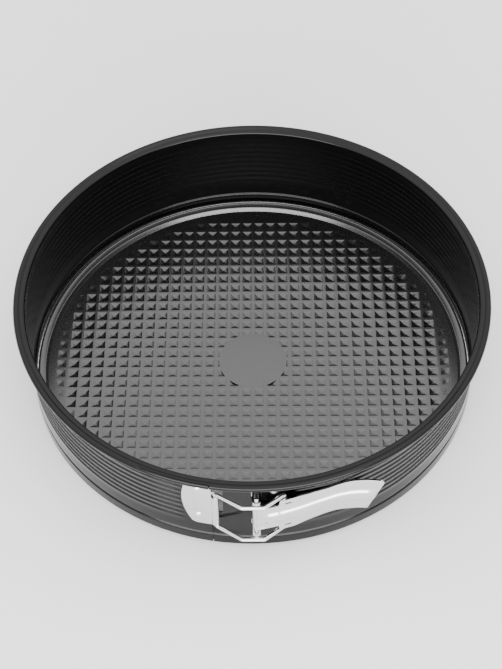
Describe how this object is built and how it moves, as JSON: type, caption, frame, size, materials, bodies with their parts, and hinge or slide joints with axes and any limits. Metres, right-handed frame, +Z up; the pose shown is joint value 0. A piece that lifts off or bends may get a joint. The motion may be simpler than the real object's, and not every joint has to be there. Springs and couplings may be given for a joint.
{
  "type": "springform pan",
  "caption": "Round springform baking pan: a loose embossed base in a ribbed ring that a bail clasp on the front closes over a lap joint.",
  "frame": {"origin": "centre of the base's flat underside, on the surface that the pan stands on", "axes": "+Z up along the pan's axis; the clasp is at the front, -Y; +X is to the right seen from the front"},
  "size_m": [0.2732, 0.2781, 0.0661],
  "materials": {
    "nonstick_coating": "satin black non-stick coating with a fine metallic grain",
    "satin_steel": "satin, finely brushed",
    "rivet_steel": "bright, domed",
    "polished_wire": "polished wire"
  },
  "bodies": {
    "base": {"base_plate": "nonstick_coating"},
    "ring_right": {"band_right": "nonstick_coating", "hinge_bracket": "satin_steel", "bracket_rivets": "rivet_steel", "pivot_pin": "rivet_steel"},
    "ring_left": {"band_left": "nonstick_coating", "anchor_plate": "satin_steel", "anchor_rivets": "rivet_steel"},
    "clasp_lever": {"lever": "satin_steel"},
    "clasp_bail": {"wire_bail": "polished_wire"}
  },
  "joints": [
    {"name": "ring_lift", "type": "slide", "parent": "base", "child": "ring_right", "axis": [0, 0, 1], "range_m": [0, 0.08]},
    {"name": "band_spring", "type": "hinge", "parent": "ring_right", "child": "ring_left", "pos_m": [0, 0.13678, 0], "axis": [0, 0, -1], "range_deg": [0, 3]},
    {"name": "lever_swing", "type": "hinge", "parent": "ring_right", "child": "clasp_lever", "pos_m": [0.00241, -0.13576, 0.039], "axis": [0, 0, -1], "range_deg": [0, 150]},
    {"name": "bail_swing", "type": "hinge", "parent": "ring_left", "child": "clasp_bail", "pos_m": [-0.01969, -0.13111, 0.039], "axis": [0, 0, -1], "range_deg": [0, 22.5]}
  ],
  "couplings": [
    {"joint": "band_spring", "follows": "lever_swing", "ratio": 0.02},
    {"joint": "bail_swing", "follows": "lever_swing", "ratio": 0.15}
  ]
}
